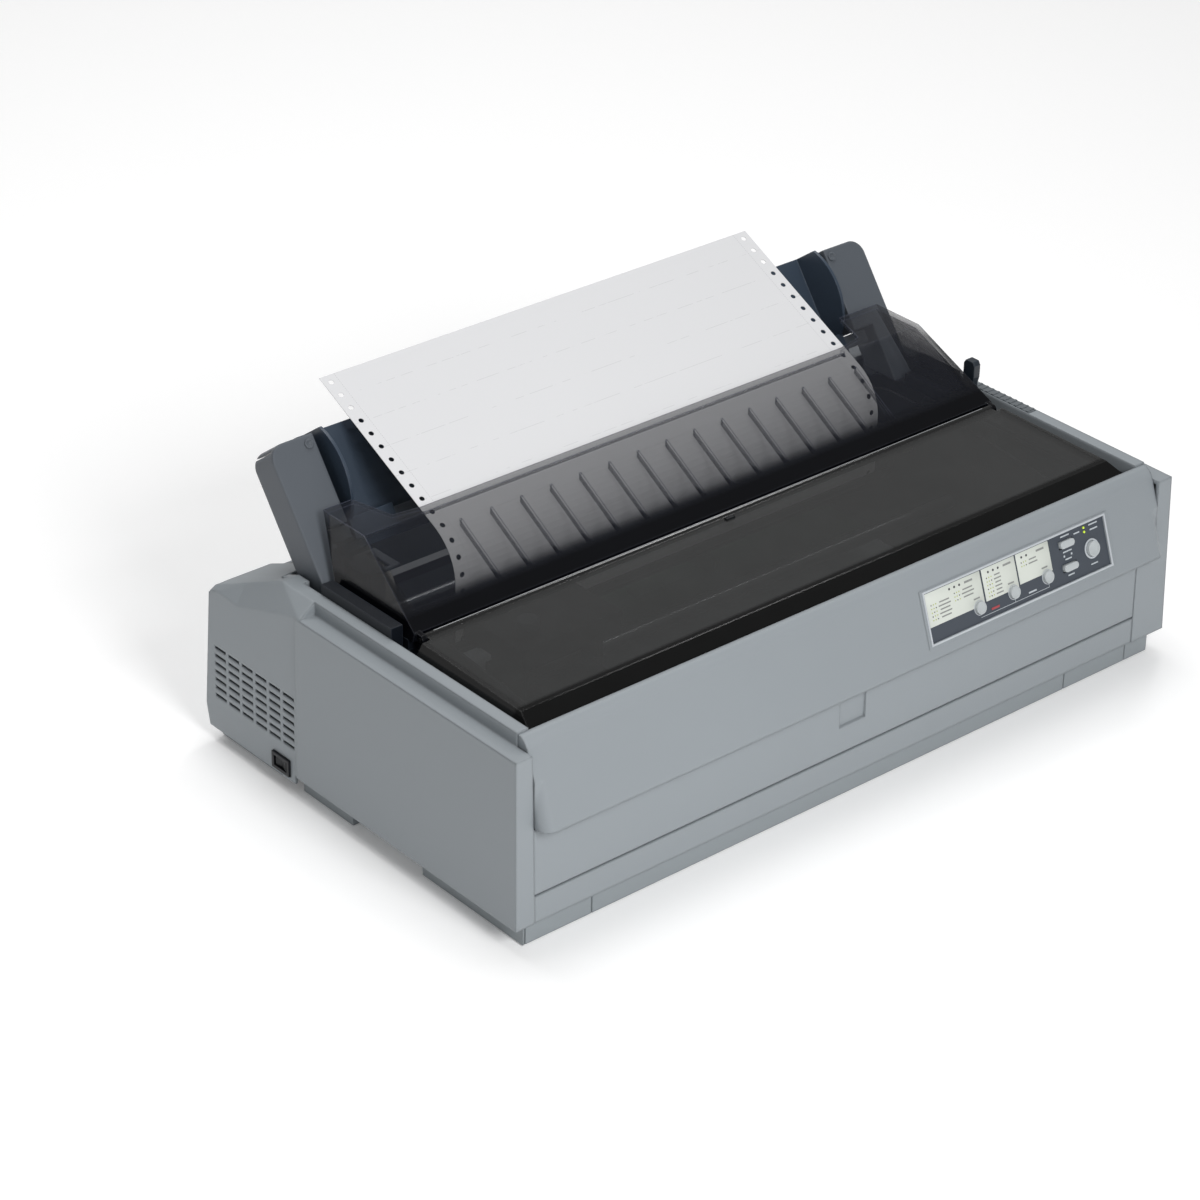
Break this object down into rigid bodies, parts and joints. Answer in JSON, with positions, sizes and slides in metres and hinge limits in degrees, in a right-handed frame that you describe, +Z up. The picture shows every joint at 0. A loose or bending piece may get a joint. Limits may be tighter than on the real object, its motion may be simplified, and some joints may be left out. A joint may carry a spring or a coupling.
{
  "type": "dot matrix printer",
  "caption": "Wide-carriage dot matrix printer with a hinged smoked front cover, a lift-off rear shield, a fold-back paper guide and a fan-fold sheet.",
  "frame": {"origin": "centre of the overall box on the plane the feet stand on", "axes": "+X to the right seen from the front, +Y from the front panel to the back, +Z up"},
  "size_m": [0.6306, 0.3633, 0.2535],
  "materials": {
    "case_plastic": "fine textured, bluish mid grey",
    "panel_plastic": "fine textured, bluish mid grey",
    "base_plastic": "dark grey",
    "arm_plastic": "slate grey",
    "guide_plastic": "steel blue",
    "smoked_plastic": "smoked, clear, glossy",
    "black_plastic": "black",
    "button_plastic": "light grey, satin",
    "label_film": "dark slate with pale fields",
    "led_lens": "yellow-green lens",
    "circuit_board": "green laminate",
    "steel": "bright zinc-plated",
    "brass": "turned",
    "gear_plastic": "natural white",
    "platen_rubber": "ground black rubber",
    "foot_rubber": "black",
    "paper": "white fan-fold form"
  },
  "bodies": {
    "machine": {"base_pan": "base_plastic", "rubber_feet": "foot_rubber", "upper_case": "case_plastic", "front_strip": "panel_plastic", "fascia": "case_plastic", "control_label": "label_film", "panel_leds": "led_lens", "panel_board": "circuit_board", "switch_frame": "black_plastic", "side_rails": "black_plastic", "front_tray": "black_plastic", "lever_scale": "panel_plastic", "frame_left": "steel", "frame_right": "steel", "cross_beams": "steel", "platen_bushes": "brass", "feed_motor": "steel", "tractor_bar": "steel", "carriage_rails": "steel", "carriage_belt": "black_plastic", "carriage_motor": "steel", "main_board": "circuit_board", "power_supply": "steel", "rear_sockets": "black_plastic", "paper_pan": "black_plastic", "paper_sheet": "paper"},
    "door": {"front_panel": "panel_plastic"},
    "rocker": {"power_rocker": "black_plastic"},
    "shield": {"rear_shield": "smoked_plastic"},
    "cover": {"front_cover": "smoked_plastic"},
    "guide": {"paper_guide": "arm_plastic"},
    "edge_l": {"edge_guide_left": "guide_plastic"},
    "edge_r": {"edge_guide_right": "guide_plastic"},
    "platen": {"platen_roller": "platen_rubber", "platen_shaft": "steel", "platen_knob": "black_plastic", "platen_gear": "gear_plastic"},
    "pinion": {"motor_pinion": "brass"},
    "idler": {"idler_gear": "gear_plastic"},
    "feed": {"tractor_gear": "gear_plastic", "tractor_shaft": "steel"},
    "tractor_l": {"tractor_left": "black_plastic"},
    "tractor_r": {"tractor_right": "black_plastic"},
    "wheel_l": {"sprocket_left": "gear_plastic"},
    "wheel_r": {"sprocket_right": "gear_plastic"},
    "lid_l": {"tractor_lid_left": "arm_plastic"},
    "lid_r": {"tractor_lid_right": "arm_plastic"},
    "head_carriage": {"carriage": "black_plastic", "print_head": "steel"},
    "cartridge": {"ribbon_cartridge": "black_plastic"},
    "ribbon_turner": {"ribbon_knob": "arm_plastic"},
    "pulley_l": {"drive_pulley": "brass"},
    "pulley_r": {"idler_pulley": "gear_plastic"},
    "lever": {"release_lever": "base_plastic"},
    "key_1": {"button_1": "button_plastic"},
    "key_2": {"button_2": "button_plastic"},
    "key_3": {"button_3": "button_plastic"},
    "key_4": {"button_4": "button_plastic"},
    "key_5": {"button_5": "button_plastic"},
    "key_6": {"button_6": "button_plastic"}
  },
  "joints": [
    {"name": "door_hinge", "type": "hinge", "parent": "machine", "child": "door", "pos_m": [0, -0.16786, 0.0418], "axis": [1, 0, 0], "range_deg": [0, 85]},
    {"name": "key_1_press", "type": "slide", "parent": "machine", "child": "key_1", "axis": [0, 0.9393, -0.343], "range_m": [0, 0.001], "stiffness_N_per_m": 300, "springref_m": -0.001},
    {"name": "key_2_press", "type": "slide", "parent": "machine", "child": "key_2", "axis": [0, 0.9393, -0.343], "range_m": [0, 0.001], "stiffness_N_per_m": 300, "springref_m": -0.001},
    {"name": "key_3_press", "type": "slide", "parent": "machine", "child": "key_3", "axis": [0, 0.9393, -0.343], "range_m": [0, 0.001], "stiffness_N_per_m": 300, "springref_m": -0.001},
    {"name": "key_4_press", "type": "slide", "parent": "machine", "child": "key_4", "axis": [0, 0.9393, -0.343], "range_m": [0, 0.001], "stiffness_N_per_m": 300, "springref_m": -0.001},
    {"name": "key_5_press", "type": "slide", "parent": "machine", "child": "key_5", "axis": [0, 0.9393, -0.343], "range_m": [0, 0.001], "stiffness_N_per_m": 300, "springref_m": -0.001},
    {"name": "key_6_press", "type": "slide", "parent": "machine", "child": "key_6", "axis": [0, 0.9393, -0.343], "range_m": [0, 0.001], "stiffness_N_per_m": 300, "springref_m": -0.001},
    {"name": "rocker_tilt", "type": "hinge", "parent": "machine", "child": "rocker", "pos_m": [-0.31, 0.0893, 0.021], "axis": [0, 0, 1], "range_deg": [-4, 4]},
    {"name": "shield_lift", "type": "slide", "parent": "machine", "child": "shield", "axis": [0, 0, 1], "range_m": [0, 0.1]},
    {"name": "cover_hinge", "type": "hinge", "parent": "shield", "child": "cover", "pos_m": [0, -0.0197, 0.1571], "axis": [-1, 0, 0], "range_deg": [0, 85]},
    {"name": "guide_fold", "type": "hinge", "parent": "machine", "child": "guide", "pos_m": [0, 0.10267, 0.14842], "axis": [-1, 0, 0], "range_deg": [0, 35]},
    {"name": "edge_left_slide", "type": "slide", "parent": "guide", "child": "edge_l", "axis": [1, 0, 0], "range_m": [0, 0.026]},
    {"name": "edge_right_slide", "type": "slide", "parent": "guide", "child": "edge_r", "axis": [-1, 0, 0], "range_m": [0, 0.026]},
    {"name": "platen_turn", "type": "hinge", "parent": "machine", "child": "platen", "pos_m": [0, 0.0458, 0.112], "axis": [1, 0, 0], "continuous": true},
    {"name": "pinion_turn", "type": "hinge", "parent": "machine", "child": "pinion", "pos_m": [-0.259, 0.0458, 0.07985], "axis": [1, 0, 0], "continuous": true},
    {"name": "idler_turn", "type": "hinge", "parent": "machine", "child": "idler", "pos_m": [-0.259, 0.0857, 0.09557], "axis": [1, 0, 0], "continuous": true},
    {"name": "feed_turn", "type": "hinge", "parent": "machine", "child": "feed", "pos_m": [0, 0.1253, 0.11], "axis": [1, 0, 0], "continuous": true},
    {"name": "tractor_left_slide", "type": "slide", "parent": "machine", "child": "tractor_l", "axis": [1, 0, 0], "range_m": [0, 0.06]},
    {"name": "tractor_right_slide", "type": "slide", "parent": "machine", "child": "tractor_r", "axis": [-1, 0, 0], "range_m": [0, 0.06]},
    {"name": "wheel_left_turn", "type": "hinge", "parent": "tractor_l", "child": "wheel_l", "pos_m": [-0.19992, 0.1253, 0.11], "axis": [1, 0, 0], "continuous": true},
    {"name": "wheel_right_turn", "type": "hinge", "parent": "tractor_r", "child": "wheel_r", "pos_m": [0.19378, 0.1253, 0.11], "axis": [1, 0, 0], "continuous": true},
    {"name": "lid_left_hinge", "type": "hinge", "parent": "tractor_l", "child": "lid_l", "pos_m": [-0.21592, 0.1253, 0.1276], "axis": [0, -1, 0], "range_deg": [0, 52]},
    {"name": "lid_right_hinge", "type": "hinge", "parent": "tractor_r", "child": "lid_r", "pos_m": [0.20978, 0.1253, 0.1276], "axis": [0, 1, 0], "range_deg": [0, 52]},
    {"name": "carriage_travel", "type": "slide", "parent": "machine", "child": "head_carriage", "axis": [1, 0, 0], "range_m": [0, 0.31]},
    {"name": "cartridge_lift", "type": "slide", "parent": "head_carriage", "child": "cartridge", "axis": [0, 0, 1], "range_m": [0, 0.012]},
    {"name": "ribbon_wind", "type": "hinge", "parent": "cartridge", "child": "ribbon_turner", "pos_m": [-0.175, -0.0127, 0.132], "axis": [0, 0, 1], "continuous": true},
    {"name": "drive_pulley_turn", "type": "hinge", "parent": "machine", "child": "pulley_l", "pos_m": [-0.225, -0.0427, 0.066], "axis": [0, 0, 1], "continuous": true},
    {"name": "idler_pulley_turn", "type": "hinge", "parent": "machine", "child": "pulley_r", "pos_m": [0.225, -0.0427, 0.066], "axis": [0, 0, 1], "continuous": true},
    {"name": "lever_throw", "type": "hinge", "parent": "machine", "child": "lever", "pos_m": [0.283, 0.0123, 0.095], "axis": [1, 0, 0], "range_deg": [0, 20]}
  ],
  "couplings": [
    {"joint": "pinion_turn", "follows": "platen_turn", "ratio": -3},
    {"joint": "idler_turn", "follows": "platen_turn", "ratio": -1.2632},
    {"joint": "feed_turn", "follows": "platen_turn", "ratio": 1.0435},
    {"joint": "wheel_left_turn", "follows": "platen_turn", "ratio": 1.0435},
    {"joint": "wheel_right_turn", "follows": "platen_turn", "ratio": 1.0435},
    {"joint": "drive_pulley_turn", "follows": "carriage_travel", "rad_per_m": -125},
    {"joint": "idler_pulley_turn", "follows": "carriage_travel", "rad_per_m": -125}
  ]
}
